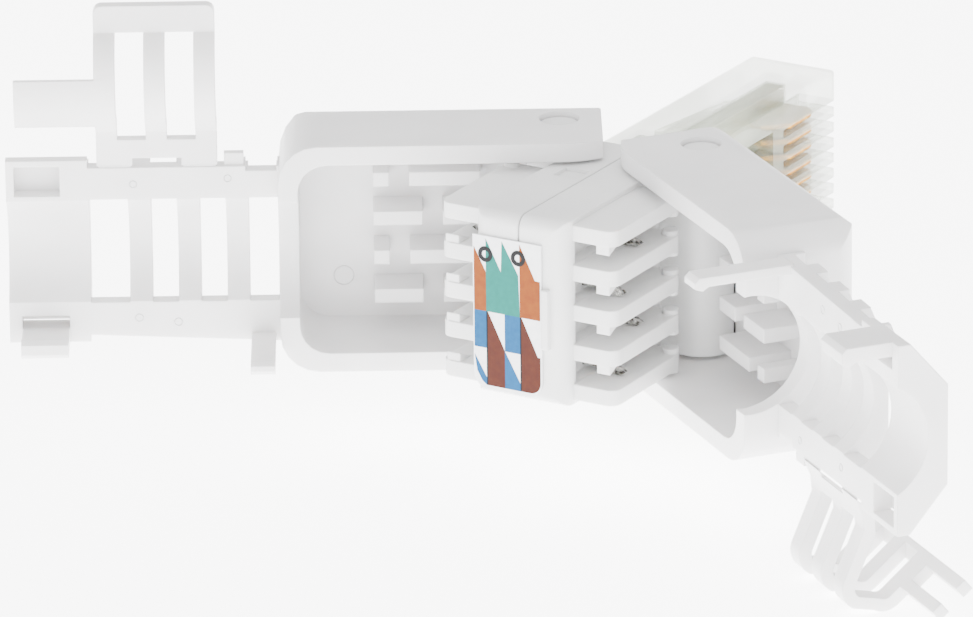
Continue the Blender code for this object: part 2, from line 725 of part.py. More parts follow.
def shell_mesh():
    """One shell, closed on the +X side, with its strap side down and its hooks up."""
    body = shell_box_body()
    cut(body, cavity())
    cage = half_octagon(CAGE_HALF, CAGE_OUT, CAGE_SIDE, CAGE_FLAT)
    collar = half_octagon(COLLAR_HALF, COLLAR_OUT, COLLAR_SIDE, COLLAR_FLAT)
    join(body, prism(cage, back(COLLAR_START + SINK), back(BOX_REAR - SINK), "XZ"))
    join(body, prism(collar, back(SHELL_REAR), back(COLLAR_START), "XZ"))
    wide = [
        (back(BOX_REAR - SINK), CAGE_HALF - SINK), (back(BOX_REAR - SINK), RAIL_WIDE),
        (back(COLLAR_START + SINK), CAGE_HALF + SEAM), (back(COLLAR_START + SINK), CAGE_HALF - SINK),
    ]
    join(body, prism(wide, RAIL_FACE, CAGE_SIDE - SEAM, "YZ"))
    bore_front = back(BOX_REAR - SHELL_WALL - OVER)
    cut(body, cylinder(BORE_RADIUS, back(SHELL_REAR + OVER), bore_front, "Y", (BORE_X, 0), 48))
    edges = [BOX_REAR + SEAM]
    for index in range(CAGE_BARS):
        front = CAGE_FIRST + index * CAGE_PITCH
        edges += [front, front + CAGE_BAR]
    edges.append(COLLAR_START - SEAM)
    for start, end in zip(edges[0::2], edges[1::2]):
        cut(body, box(
            (-OVER, back(end), -CAGE_WINDOW / 2), (CAGE_OUT + OVER, back(start), CAGE_WINDOW / 2)
        ))
        cut(body, box(
            (RAIL_FACE + RAIL_THICK, back(end), -CAGE_HALF - OVER),
            (CAGE_OUT + OVER, back(start), CAGE_HALF + OVER),
        ))
    join(body, *press_bars())
    relief = SIDE_INNER - SEAM
    cut(body, cylinder(COLUMN_RADIUS + FIT, -relief, relief, "Z", (PIVOT_X, PIVOT_Y)))
    cut(body, cylinder(
        PIN_RADIUS + FIT, -SHELL_HALF_WIDTH - OVER, SHELL_HALF_WIDTH + OVER, "Z", (PIVOT_X, PIVOT_Y)
    ))
    add_hooks(body)
    return moved_to_origin(settle(body), PIVOT)


def hook(outer, thick, reach):
    """A hook seen along the plug: a bar that stands on the rail, with a lip at its inner tip."""
    inner = outer - thick
    tip = RAIL_FACE - reach
    return [
        (RAIL_FACE + SINK, inner), (tip + HOOK_NOSE, inner), (tip + HOOK_STEP, inner - HOOK_LIP),
        (tip, inner - SEAM), (tip, outer - HOOK_ROUND), (tip + HOOK_ROUND, outer),
        (RAIL_FACE + SINK, outer),
    ]


def add_hooks(body):
    """Hooks on the upper side and the places below that take the other shell's hooks."""
    start = COLLAR_HOOK_START
    end = start + COLLAR_HOOK_LENGTH
    inner = COLLAR_HALF - COLLAR_HOOK_THICK
    cut(body, box(
        (-OVER, back(end), inner - SLIT_WIDTH), (RAIL_FACE + SLIT_DEPTH, back(start), inner)
    ))
    prong = hook(COLLAR_HALF, COLLAR_HOOK_THICK, COLLAR_HOOK_REACH)
    join(body, prism(prong, back(end), back(start), "XZ"))
    low = -(COLLAR_HALF - POCKET_WALL)
    cut(body, box(
        (-OVER, back(POCKET_START + POCKET_LENGTH), low),
        (RAIL_FACE + POCKET_DEPTH, back(POCKET_START), low + POCKET_WIDTH),
    ))
    arm = hook(ARM_OUT, ARM_THICK, ARM_REACH)
    join(body, prism(arm, back(ARM_START + ARM_LENGTH), back(ARM_START), "XZ"))
    room = ARM_OUT - ARM_THICK - HOOK_LIP - FIT
    cut(body, box(
        (-OVER, back(NOTCH_END), -CAGE_HALF - OVER), (CAGE_OUT + OVER, back(NOTCH_START), -room)
    ))
    join(body, box(
        (RAIL_FACE + SINK, back(STUD_START + STUD_LENGTH), -CAGE_HALF - STUD_OUT),
        (RAIL_FACE + STUD_DEPTH, back(STUD_START), -CAGE_HALF + SINK),
    ))


def strap_mesh():
    """The left strap, drawn folded on the rails with its arch in the cradle, then turned out."""
    level = RAIL_FACE - FIT
    face = level - STRAP_THICK
    centre = (BORE_X, 0)
    inside = STRAP_RADIUS - STRAP_THICK
    rise = math.degrees(math.acos((level - BORE_X) / STRAP_RADIUS))
    inner_rise = math.degrees(math.acos((face - BORE_X) / inside))
    root = -CAGE_HALF
    end = root + STRAP_REACH
    outline = (
        [(face, root + STRAP_THICK), (level, root)] + arc(centre, STRAP_RADIUS, -rise, rise, 16)
        + [(level, end), (face, end)] + arc(centre, inside, inner_rise, -inner_rise, 14)
    )
    start = back(STRAP_START)
    stop = back(STRAP_START + STRAP_LENGTH)
    far = BORE_X + BORE_RADIUS + OVER
    body = prism(outline, stop, start, "XZ")
    corner = STRAP_CORNER
    plan = (
        [(start, root - OVER)] + arc((start - corner, end - corner), corner, 0, 90, 4)
        + arc((stop + corner, end - corner), corner, 90, 180, 4) + [(stop, root - OVER)]
    )
    common(body, prism(plan, -OVER, far, "YZ"))
    window_low = root + STRAP_ROOT
    for index in range(2):
        front = start - STRAP_BAR - index * (STRAP_BAR + STRAP_GAP)
        cut(body, box((-OVER, front - STRAP_GAP, window_low), (far, front, window_low + STRAP_WINDOW)))
    middle = (start + stop) / 2
    half = STRAP_NOTCH / 2
    cut(body, box((-OVER, middle - half, root - OVER), (far, middle + half, root + STRAP_NOTCH_DEPTH)))
    low_z = root + TONGUE_START
    high_z = low_z + TONGUE_WIDTH
    low = math.degrees(math.asin(low_z / STRAP_RADIUS))
    high = math.degrees(math.asin(high_z / STRAP_RADIUS))
    tip = stop - TONGUE_LENGTH
    sector = arc(centre, STRAP_RADIUS, low, high, 8) + arc(centre, inside, high, low, 8)
    join(body, prism(sector, tip, stop + STRAP_BAR / 2, "XZ"))
    mesh = settle(body)
    moved_to_origin(mesh, (HINGE_X, PIVOT_Y, HINGE_Z))
    mesh.transform(Matrix.Rotation(math.pi, 4, "Y"))
    return mesh


def along(start, angle, distance):
    """The point reached from a start in a direction given in degrees."""
    return (
        start[0] + distance * math.cos(math.radians(angle)),
        start[1] + distance * math.sin(math.radians(angle)),
    )


def forked_strap_mesh():
    """The right strap: a bent band with a fork on its far leg, drawn as it hangs."""
    inner_one = BEND_ONE_RADIUS - STRAP_THICK
    inner_two = BEND_TWO_RADIUS - STRAP_THICK
    outer_end = along(along(BEND_TWO, FORK_ANGLE, BEND_TWO_RADIUS), FORK_ANGLE - 90, LEG_LENGTH)
    inner_end = along(outer_end, FORK_ANGLE + 180, STRAP_THICK)
    leg_inner = along(LEG_START, LEG_ANGLE + 180, STRAP_THICK)
    profile = (
        [(0, SEAM), KNEE, LEG_START]
        + arc(BEND_ONE, BEND_ONE_RADIUS, LEG_ANGLE, TURN_ANGLE, 8)
        + arc(BEND_TWO, BEND_TWO_RADIUS, TURN_ANGLE, FORK_ANGLE, 8)
        + [outer_end, inner_end]
        + arc(BEND_TWO, inner_two, FORK_ANGLE, TURN_ANGLE, 6)
        + arc(BEND_ONE, inner_one, TURN_ANGLE, LEG_ANGLE, 6)
        + [leg_inner, (KNEE[0] + STRAP_THICK, KNEE[1]), (STRAP_THICK, STRAP_THICK)]
    )
    hung = [(x, -drop) for x, drop in profile]
    body = prism(hung, -STRAP_LENGTH, 0, "XZ")
    lowest = BEND_TWO[1] + BEND_TWO_RADIUS + OVER
    window_end = outer_end[0] - STRAP_THICK
    for index in range(2):
        front = -STRAP_BAR - index * (STRAP_BAR + STRAP_GAP)
        cut(body, box(
            (-lowest, front - STRAP_GAP, -lowest), (window_end, front, -STRAP_ROOT)
        ))
    middle = -STRAP_LENGTH / 2
    half = STRAP_NOTCH / 2
    cut(body, box(
        (-OVER, middle - half, -STRAP_NOTCH_DEPTH), (lowest, middle + half, OVER)
    ))
    leg_start = along(along(BEND_TWO, FORK_ANGLE, BEND_TWO_RADIUS), FORK_ANGLE - 90, STRAP_THICK)
    leg = [leg_start, outer_end, inner_end, along(leg_start, FORK_ANGLE + 180, STRAP_THICK)]
    tip = -STRAP_LENGTH - FORK_REACH
    join(body, prism([(x, -drop) for x, drop in leg], tip, -STRAP_LENGTH + SINK, "XZ"))
    across = [(a + b) / 2 for a, b in zip(leg_start, outer_end)]
    slot = [
        along(along(across, FORK_ANGLE, OVER), FORK_ANGLE - 90, FORK_WIDTH / 2),
        along(along(across, FORK_ANGLE, OVER), FORK_ANGLE + 90, FORK_WIDTH / 2),
        along(along(across, FORK_ANGLE, -2 * OVER), FORK_ANGLE + 90, FORK_WIDTH / 2),
        along(along(across, FORK_ANGLE, -2 * OVER), FORK_ANGLE - 90, FORK_WIDTH / 2),
    ]
    cut(body, prism([(x, -drop) for x, drop in slot], tip - OVER, -STRAP_LENGTH - FORK_START, "XZ"))
    return moved_to_origin(settle(body), (0, STRAP_START, 0))


def shells_and_straps():
    """Both shells stand open on their pins; each strap hangs on its shell's rail."""
    mesh = shell_mesh()
    strap_place = (HINGE_X - PIVOT_X, 0, HINGE_Z)
    right = part(
        "right_shell", mesh, WHITE, origin=PIVOT, turn=(0, 0, math.radians(RIGHT_OPEN))
    )
    part("right_strap", forked_strap_mesh(), WHITE, origin=strap_place, parent=right)
    left = part(
        "left_shell", mesh, WHITE, origin=(-PIVOT_X, PIVOT_Y, 0), turn=(0, math.pi, math.radians(-LEFT_OPEN))
    )
    part("left_strap", strap_mesh(), WHITE, origin=strap_place, parent=left)


def latch():
    """Spring lever on the -X side: rooted at the front, its wide part ends in two shoulders."""
    face = -(NOSE_BACK + LATCH_GAP)
    front = -LATCH_FRONT
    rear = front - LATCH_LENGTH
    bend = front - LATCH_SHOULDER
    back_face = face - LATCH_THICK
    knee = LATCH_RISE * LATCH_KNEE
    side = [
        (face, front), (back_face, front - LATCH_NOSE), (back_face - knee, bend),
        (back_face - LATCH_RISE, rear), (face - LATCH_RISE, rear), (face - knee, bend),
    ]
    body = prism(side, -LATCH_WIDE / 2, LATCH_WIDE / 2)
    wide = LATCH_WIDE / 2
    narrow = LATCH_NARROW / 2
    plan = [
        (front + OVER, -wide - OVER), (front + OVER, wide + OVER), (bend, wide + OVER), (bend, narrow),
        (rear - OVER, narrow), (rear - OVER, -narrow), (bend, -narrow), (bend, -wide - OVER),
    ]
    common(body, prism(plan, face - LATCH_THICK - LATCH_RISE - OVER, face + OVER, "YZ"))
    origin = (face, front, 0)
    part("latch_lever", moved_to_origin(settle(body), origin), CLEAR, origin=origin)


def main():
    nose_housing()
    contacts()
    circuit_board()
    wiring_block()
    terminals()
    wiring_label()
    shells_and_straps()
    latch()


main()
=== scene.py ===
"""Looks of the opened modular plug: moulded white shells, clear nose, gold contacts, printed label.

Lengths are in millimetres and become metres through MM. The plug's frame: +X contact side,
+Y insertion direction, +Z across the width, origin on the nose's front face.
"""
import json
import math

import bpy
import bmesh
from mathutils import Matrix, Vector


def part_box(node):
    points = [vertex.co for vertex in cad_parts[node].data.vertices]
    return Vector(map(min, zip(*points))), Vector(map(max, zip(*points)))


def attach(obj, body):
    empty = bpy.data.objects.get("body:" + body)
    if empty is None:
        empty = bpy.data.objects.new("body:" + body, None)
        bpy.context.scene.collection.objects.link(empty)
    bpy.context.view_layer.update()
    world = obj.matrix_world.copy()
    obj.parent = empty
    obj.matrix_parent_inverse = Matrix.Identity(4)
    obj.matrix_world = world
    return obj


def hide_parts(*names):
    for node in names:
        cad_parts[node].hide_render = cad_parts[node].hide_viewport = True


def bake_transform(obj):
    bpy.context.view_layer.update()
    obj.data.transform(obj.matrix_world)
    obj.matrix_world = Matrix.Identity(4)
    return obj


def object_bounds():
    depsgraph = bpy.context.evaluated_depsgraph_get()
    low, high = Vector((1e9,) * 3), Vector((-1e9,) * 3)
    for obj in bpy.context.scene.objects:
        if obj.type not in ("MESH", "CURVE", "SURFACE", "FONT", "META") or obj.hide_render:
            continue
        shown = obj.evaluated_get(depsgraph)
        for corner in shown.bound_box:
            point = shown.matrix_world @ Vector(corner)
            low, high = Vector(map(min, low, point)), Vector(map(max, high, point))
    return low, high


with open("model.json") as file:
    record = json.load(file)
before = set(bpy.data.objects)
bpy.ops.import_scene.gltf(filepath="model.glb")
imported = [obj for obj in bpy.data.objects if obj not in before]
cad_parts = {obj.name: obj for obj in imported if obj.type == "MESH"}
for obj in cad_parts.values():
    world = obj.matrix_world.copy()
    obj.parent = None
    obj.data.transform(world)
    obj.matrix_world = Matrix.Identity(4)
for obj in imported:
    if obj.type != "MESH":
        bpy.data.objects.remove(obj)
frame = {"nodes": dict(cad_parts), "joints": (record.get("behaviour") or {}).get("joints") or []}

CAD_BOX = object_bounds()
MM = 0.001
JOINTS = {joint["name"]: joint for joint in frame["joints"]}

# The photograph's camera, found by fitting the plug's standard sizes
PHOTO_WIDTH = 973
PIXELS_PER_MM = 16.257
AZIMUTH = 30.715
ELEVATION = 19.918
ROLL = -0.65
DISTANCE = 559.0
AIM = Vector((0.0, -20.0, 0.0))
AIM_ACROSS = -9.055
AIM_UP = -4.143
SENSOR = 36.0
CLIP_NEAR = 10.0
CLIP_FAR = 10000.0

# Studio: a light table under soft lights, each with its place, size and power in watts
TABLE_HALF = 1500.0
TABLE_GLOW = 6.0
SKY_GLOW = 1.8
LIGHTS = {
    "front_light": ((160.0, -500.0, 220.0), 350.0, 1.6),
    "top_light": ((50.0, 100.0, 500.0), 500.0, 1.6),
    "side_light": ((-450.0, -250.0, 250.0), 300.0, 0.8),
}

# Mouldings
SHELL_NODES = ("right_shell", "left_shell", "right_strap", "left_strap")
BLOCK_NODES = ("block_half_right", "block_half_left")
SIDES = {"right": 1, "left": -1}
SHUT_LIMIT = {"right": 0, "left": 1}    # the limit of its hinge that shuts each shell
MERGE_GAP = 0.001       # corners closer than this are one corner
EDGE_ROUND = 0.14       # the small rounding that a mould leaves on every edge
EDGE_SAMPLES = 8
SHARP_ANGLE = 32.0      # edges sharper than this stay edges, degrees

# Marks of the ejector pins: depth, distance behind the hinge, height and radius of each ring
EJECTORS = (
    (6.8, 13.4, 3.4, 0.62), (6.8, 3.6, 0.0, 0.5), (2.3, 26.2, -4.3, 0.22), (2.3, 20.4, -4.6, 0.22),
    (2.3, 26.0, 4.4, 0.24), (2.3, 23.6, 4.7, 0.24),
)
EJECTOR_LINE = 0.035
RING_CORNERS = 32
LINE_CORNERS = 8

# Films on which the straps bend: heights are counted from the strap's own hinge
FILM_DEPTH = (2.33, 2.42)
FILM_SPANS = ((21.1, 23.1), (26.3, 28.3))
FILM_ROWS = (0.25, 0.13, 0.05, 0.02, 0.0, -0.02, -0.05, -0.11, -0.17)

# Root on which the locking lever bends
ROOT_SINK = 0.05        # how far it reaches into the nose and into the lever
ROOT_MARGIN = 0.1       # how far it stays inside the lever's outline
ROOT_LENGTH = 0.7
ROOT_STEPS = 6

# Metal pieces in the nose and block
CONTACTS = [f"contact_{number}" for number in range(1, 9)]
TERMINALS = [f"idc_{number}" for number in range(1, 9)]

# Print on the label, across and up the block's rear face
LABEL_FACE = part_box("wiring_label")[0][1] / MM
PRINT_LIFT = 0.004
PRINT_THICK = 0.012
PRINT_LINE = 0.1
PRINT_COLUMNS = (-3.02, -2.18, -0.9, 0.17, 1.58)    # left edge, first line, middle, second line, right edge
PRINT_ROWS = (4.2, 2.05, -0.45, -2.82, -5.2)        # peaks, shoulders, top and foot of the blocks, bottom
LEFT_PEAK = 3.6
GREEN_NOTCHES = 2.2
GREEN_NOTCH = -1.13
GREEN_PEAK = -1.06
RIGHT_SHOULDER = 1.24
BROWN_SLOPE = 1.4
BLUE_SLOPE = -3.3
BLUE_TIP = -4.72
LEFT_CORNER = ((-2.5, -4.95), (-2.85, -4.35))
RIGHT_CORNER = 0.7
SIGNS = ((-2.2, 3.2), (0.08, 3.3))
SIGN_OUTER = 0.5
SIGN_INNER = 0.24
SIGN_THICK = 0.018
SIGN_CORNERS = 24


# Colours and nodes

def colour(code):
    """An sRGB hex colour as linear light with full alpha."""
    channels = [int(code[i:i + 2], 16) / 255 for i in (1, 3, 5)]
    return [c / 12.92 if c <= 0.04045 else ((c + 0.055) / 1.055) ** 2.4 for c in channels] + [1.0]


def add(tree, kind, settings=None, links=None):
    """Adds one node: settings are properties or input values, links are input to socket."""
    made = tree.nodes.new(kind)
    for key, value in (settings or {}).items():
        if isinstance(key, str) and hasattr(made, key):
            setattr(made, key, value)
        else:
            made.inputs[key].default_value = value
    for key, socket in (links or {}).items():
        tree.links.new(socket, made.inputs[key])
    return made


def new_material(name, settings):
    """A material with its Principled shader set; returns material, tree, shader and object place."""
    material = bpy.data.materials.new(name)
    material.use_nodes = True
    tree = material.node_tree
    shader = tree.nodes["Principled BSDF"]
    for key, value in settings.items():
        shader.inputs[key].default_value = value
    place = add(tree, "ShaderNodeTexCoord").outputs["Object"]
    return material, tree, shader, place


def noise(tree, place, grain, detail):
    """Noise whose grains are the given size in millimetres."""
    made = add(tree, "ShaderNodeTexNoise", {"Scale": 1 / (grain * MM), "Detail": detail}, {"Vector": place})
    return made.outputs["Fac"]


def drawn_out(tree, place, along):
    """A place whose pattern is drawn out along the plug's length."""
    made = add(tree, "ShaderNodeMapping", {"Scale": (1.0, along, 1.0)}, {"Vector": place})
    return made.outputs["Vector"]


def span(tree, value, low, high):
    """Maps 0 to 1 onto a range."""
    made = add(tree, "ShaderNodeMapRange", {"To Min": low, "To Max": high}, {"Value": value})
    return made.outputs["Result"]


def between(tree, value, first, second):
    """A colour between two hex colours."""
    ramp = add(tree, "ShaderNodeValToRGB", None, {"Fac": value})
    start, end = ramp.color_ramp.elements
    start.position = 0.3
    end.position = 0.7
    start.color = colour(first)
    end.color = colour(second)
    return ramp.outputs["Color"]


def bump(tree, shader, height, depth, strength, rounding=0.0):
    """Surface relief of a real depth in millimetres, over edges rounded by a real radius."""
    made = add(tree, "ShaderNodeBump", {"Strength": strength, "Distance": depth * MM}, {"Height": height})
    if rounding:
        edges = add(tree, "ShaderNodeBevel", {"samples": EDGE_SAMPLES, "Radius": rounding * MM})
        tree.links.new(edges.outputs["Normal"], made.inputs["Normal"])
    tree.links.new(made.outputs["Normal"], shader.inputs["Normal"])


def moulded(name, first, second, roughness):
    """Injection-moulded ABS: fine spark-eroded grain, faint flow clouds, light that sinks in a little."""
    material, tree, shader, place = new_material(name, {
        "IOR": 1.54, "Subsurface Weight": 0.25, "Subsurface Radius": (1.2, 1.1, 1.0),
        "Subsurface Scale": 0.6 * MM,
    })
    clouds = noise(tree, place, grain=6.0, detail=3.0)
    erosion = noise(tree, place, grain=0.16, detail=2.0)    # really finer; drawn coarse enough to show
    tree.links.new(between(tree, clouds, first, second), shader.inputs["Base Color"])
    tree.links.new(span(tree, erosion, roughness - 0.05, roughness + 0.08), shader.inputs["Roughness"])
    bump(tree, shader, erosion, depth=0.006, strength=0.35, rounding=EDGE_ROUND)
    return material


def clear_polycarbonate():
    """Moulded clear polycarbonate: glossy, slightly green-grey, with faint flow streaks.

    Part of the light goes straight through, so that the inside stays as bright as in the real one.
    """
    material, tree, shader, place = new_material("clear_polycarbonate", {
        "IOR": 1.45, "Transmission Weight": 0.6,
    })
    streaks = noise(tree, drawn_out(tree, place, 0.2), grain=0.9, detail=3.0)
    rim = add(tree, "ShaderNodeLayerWeight", {"Blend": 0.35}).outputs["Facing"]
    tree.links.new(span(tree, rim, 0.32, 0.64), shader.inputs["Alpha"])
    tree.links.new(between(tree, streaks, "#9CA48C", "#E0E5D8"), shader.inputs["Base Color"])
    tree.links.new(span(tree, streaks, 0.08, 0.24), shader.inputs["Roughness"])
    bump(tree, shader, streaks, depth=0.02, strength=0.3, rounding=EDGE_ROUND)
    return material


def gold_plate():
    """Gold over nickel on stamped bronze: warm, bright, with fine stamping lines along the blade."""
    material, tree, shader, place = new_material("gold_plate", {"Metallic": 1.0})
    lines = noise(tree, drawn_out(tree, place, 0.08), grain=0.07, detail=2.0)
    clouds = noise(tree, place, grain=0.7, detail=2.0)
    tree.links.new(between(tree, clouds, "#9A5F0C", "#DDA63C"), shader.inputs["Base Color"])
    tree.links.new(span(tree, lines, 0.16, 0.36), shader.inputs["Roughness"])
    bump(tree, shader, lines, depth=0.004, strength=0.4)
    return material


def tin_plate():
    """Bright tin on stamped bronze: pale grey with a soft sheen and faint clouds."""
    material, tree, shader, place = new_material("tin_plate", {"Metallic": 1.0})
    clouds = noise(tree, place, grain=0.32, detail=1.0)
    tree.links.new(between(tree, clouds, "#4A4844", "#F8F7F3"), shader.inputs["Base Color"])
    tree.links.new(span(tree, clouds, 0.12, 0.32), shader.inputs["Roughness"])
    return material


def board_laminate():
    """Glass-fibre laminate under pale varnish: the weave, 0.4 mm wide, shows as a faint square net."""
    material, tree, shader, place = new_material("board_laminate", {"IOR": 1.5})
    weave = add(tree, "ShaderNodeTexChecker", {
        "Scale": 1 / (0.4 * MM), "Color1": colour("#C7CDB6"), "Color2": colour("#BDC4AA"),
    }, {"Vector": place})
    varnish = noise(tree, place, grain=1.4, detail=2.0)
    tree.links.new(weave.outputs["Color"], shader.inputs["Base Color"])
    tree.links.new(span(tree, varnish, 0.3, 0.5), shader.inputs["Roughness"])
    return material


def coated_paper(name, first, second):
    """Coated label paper, bare or printed: flat colour with a slight mottle and fibre grain."""
    material, tree, shader, place = new_material(name, {"IOR": 1.48, "Specular IOR Level": 0.2})
    mottle = noise(tree, place, grain=0.35, detail=3.0)
    fibres = noise(tree, place, grain=0.05, detail=2.0)
    tree.links.new(between(tree, mottle, first, second), shader.inputs["Base Color"])
    tree.links.new(span(tree, fibres, 0.42, 0.6), shader.inputs["Roughness"])
    bump(tree, shader, fibres, depth=0.003, strength=0.3)
    return material


def light_table():
    """Opal acrylic sheet lit from below, as under catalogue photographs: nearly shadowless white."""
    material, tree, shader, place = new_material("opal_acrylic", {
        "Roughness": 0.7, "Emission Color": colour("#FFFFFF"), "Emission Strength": TABLE_GLOW,
    })
    clouds = noise(tree, place, grain=60.0, detail=2.0)
    tree.links.new(between(tree, clouds, "#F6F6F6", "#FAFAFA"), shader.inputs["Base Color"])
    return material


# Meshes

def finished(name, mesh, materials):
    """A visible piece with its place in its mesh."""
    for material in materials:
        mesh.materials.append(material)
    item = bpy.data.objects.new(name, mesh)
    bpy.context.scene.collection.objects.link(item)
    return item


def shaped(name, shape, materials):
    """A visible piece made of closed forms, with all faces turned outwards."""
    bmesh.ops.recalc_face_normals(shape, faces=shape.faces)
    mesh = bpy.data.meshes.new(name)
    shape.to_mesh(mesh)
    shape.free()
    return finished(name, mesh, materials)


def bake_modifiers(item):
    """Puts an object's modifiers into its mesh."""
    bpy.context.view_layer.update()
    graph = bpy.context.evaluated_depsgraph_get()
    item.data = bpy.data.meshes.new_from_object(item.evaluated_get(graph))
    item.modifiers.clear()


def smoothed(node, material):
    """A merged copy of a node with smooth rounds, true flats and crisp edges."""
    mesh = frame["nodes"][node].data.copy()
    shape = bmesh.new()
    shape.from_mesh(mesh)
    bmesh.ops.remove_doubles(shape, verts=shape.verts, dist=MERGE_GAP * MM)
    bmesh.ops.recalc_face_normals(shape, faces=shape.faces)
    shape.to_mesh(mesh)
    shape.free()
    if "custom_normal" in mesh.attributes:
        mesh.attributes.remove(mesh.attributes["custom_normal"])
    mesh.materials.clear()
    mesh.shade_smooth()
    mesh.set_sharp_from_angle(angle=math.radians(SHARP_ANGLE))
    item = finished(node + "_moulding", mesh, [material])
    item.modifiers.new("flats", "WEIGHTED_NORMAL").keep_sharp = True
    bake_modifiers(item)
    return item


def cover(node, body, material):
    """Lets a smoothed copy stand for a CAD node."""
    skin = smoothed(node, material)
    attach(skin, body)
    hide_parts(node)


def coat(nodes, material):
    """Gives CAD nodes a finish."""
    for node in nodes:
        slots = frame["nodes"][node].data.materials
        slots.clear()
        slots.append(material)


# Shells

def on_shell(side, depth, behind, height):
    """The place of a shell's point: depth from its parting plane, distance behind its hinge, height."""
    hinge = JOINTS[side + "_shell_hinge"]
    pivot = Vector(hinge["pos_m"])
    turned = Matrix.Rotation(math.radians(-hinge["range_deg"][SHUT_LIMIT[side]]), 3, "Z")
    shut = Vector((SIDES[side] * depth, -behind, SIDES[side] * height)) * MM
    return pivot + turned @ (shut - Vector((pivot.x, 0, 0)))


def ejector_tree(material):
    """Geometry Nodes: a fine closed ring on every point, turned to face the way its point faces."""
    tree = bpy.data.node_groups.new("ejector_marks", "GeometryNodeTree")
    ports = tree.interface
    ports.new_socket("Geometry", in_out="INPUT", socket_type="NodeSocketGeometry")
    line = ports.new_socket("Line Width", in_out="INPUT", socket_type="NodeSocketFloat")
    ports.new_socket("Geometry", in_out="OUTPUT", socket_type="NodeSocketGeometry")
    entry = tree.nodes.new("NodeGroupInput")
    leave = tree.nodes.new("NodeGroupOutput")
    circle = add(tree, "GeometryNodeCurvePrimitiveCircle", {"Resolution": RING_CORNERS, "Radius": 1.0})
    size = add(tree, "GeometryNodeInputNamedAttribute", {"data_type": "FLOAT", "Name": "ring_radius"})
    facing = add(tree, "GeometryNodeInputNamedAttribute", {"data_type": "FLOAT_VECTOR", "Name": "facing"})
    turn = add(tree, "FunctionNodeAlignRotationToVector", {"axis": "Z"}, {
        "Vector": facing.outputs["Attribute"],
    })
    rings = add(tree, "GeometryNodeInstanceOnPoints", None, {
        "Points": entry.outputs["Geometry"], "Instance": circle.outputs["Curve"],
        "Rotation": turn.outputs["Rotation"], "Scale": size.outputs["Attribute"],
    })
    real = add(tree, "GeometryNodeRealizeInstances", None, {"Geometry": rings.outputs["Instances"]})
    profile = add(tree, "GeometryNodeCurvePrimitiveCircle", {"Resolution": LINE_CORNERS}, {
        "Radius": entry.outputs["Line Width"],
    })
    wire = add(tree, "GeometryNodeCurveToMesh", None, {
        "Curve": real.outputs["Geometry"], "Profile Curve": profile.outputs["Curve"],
    })
    plastic = add(tree, "GeometryNodeSetMaterial", {"Material": material}, {"Geometry": wire.outputs["Mesh"]})
    tree.links.new(plastic.outputs["Geometry"], leave.inputs["Geometry"])
    return tree, line.identifier


def ejector_marks(side, tree, line):
    """The rings that ejector pins leave inside a shell, as one plain mesh."""
    mesh = bpy.data.meshes.new(side + "_shell_marks")
    mesh.from_pydata([on_shell(side, *mark[:3]) for mark in EJECTORS], [], [])
    mesh.attributes.new("facing", "FLOAT_VECTOR", "POINT")
    mesh.attributes.new("ring_radius", "FLOAT", "POINT")
    outward = (on_shell(side, 0, 0, 0) - on_shell(side, 1, 0, 0)).normalized()
    for index, mark in enumerate(EJECTORS):
        mesh.attributes["facing"].data[index].vector = outward
        mesh.attributes["ring_radius"].data[index].value = mark[3] * MM
    marks = finished(side + "_shell_marks", mesh, [])
    rings = marks.modifiers.new("rings", "NODES")
    rings.node_group = tree
    rings[line] = EJECTOR_LINE * MM
    bake_modifiers(marks)
    for name in ("facing", "ring_radius"):
        if name in marks.data.attributes:
            marks.data.attributes.remove(marks.data.attributes[name])
    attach(marks, side + "_shell")


def bar(shape, rows):
    """A closed bar through rows of four corners."""
    rings = [[shape.verts.new(corner) for corner in row] for row in rows]
    for one, two in zip(rings, rings[1:]):
        for index in range(4):
            other = (index + 1) % 4
            shape.faces.new((one[index], one[other], two[other], two[index]))
    shape.faces.new(rings[0])
    shape.faces.new(rings[-1])


def hinge_film(side, material):
    """The thin film of plastic, on both sides of the notch, on which a strap bends."""
    near, far = FILM_DEPTH
    hinge = SIDES[side] * JOINTS[side + "_strap_hinge"]["pos_m"][2] / MM
    shape = bmesh.new()
    for first, last in FILM_SPANS:
        section = ((near, first), (far, first), (far, last), (near, last))
        bar(shape, [[on_shell(side, *corner, hinge + row) for corner in section] for row in FILM_ROWS])
    film = shaped(side + "_strap_film", shape, [material])
    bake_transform(film)


def shells():
    """Both shells with their straps, ejector marks and hinge films."""
    plastic = moulded("moulded_abs", "#DDDCDC", "#E6E5E5", 0.4)
    for node in SHELL_NODES:
        cover(node, node, plastic)
    tree, line = ejector_tree(plastic)
    for side in SIDES:
        ejector_marks(side, tree, line)
        hinge_film(side, plastic)


# Wiring block and nose

def wiring_block():
    """Both halves of the wiring block and the slot terminals between their fins."""
    plastic = moulded("moulded_abs_block", "#D8D8D8", "#E1E1E0", 0.42)
    for node in BLOCK_NODES:
        cover(node, "core", plastic)
    coat(TERMINALS, tin_plate())


def lever_root(material):
    """The thin root on which the locking lever bends, moulded with the nose."""
    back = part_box("nose_housing")[0][0] / MM
    face, front, half = (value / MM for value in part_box("latch_lever")[1])
    front -= ROOT_MARGIN
    half -= ROOT_MARGIN
    rear = front - ROOT_LENGTH
    start = back + ROOT_SINK
    reach = face - ROOT_SINK - start
    section = ((front, -half), (rear, -half), (rear, half), (front, half))
    shape = bmesh.new()
    bar(shape, [
        [Vector((start + reach * step / ROOT_STEPS, y, z)) * MM for y, z in section]
        for step in range(ROOT_STEPS + 1)
    ])
    root = shaped("lever_root", shape, [material])
    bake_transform(root)


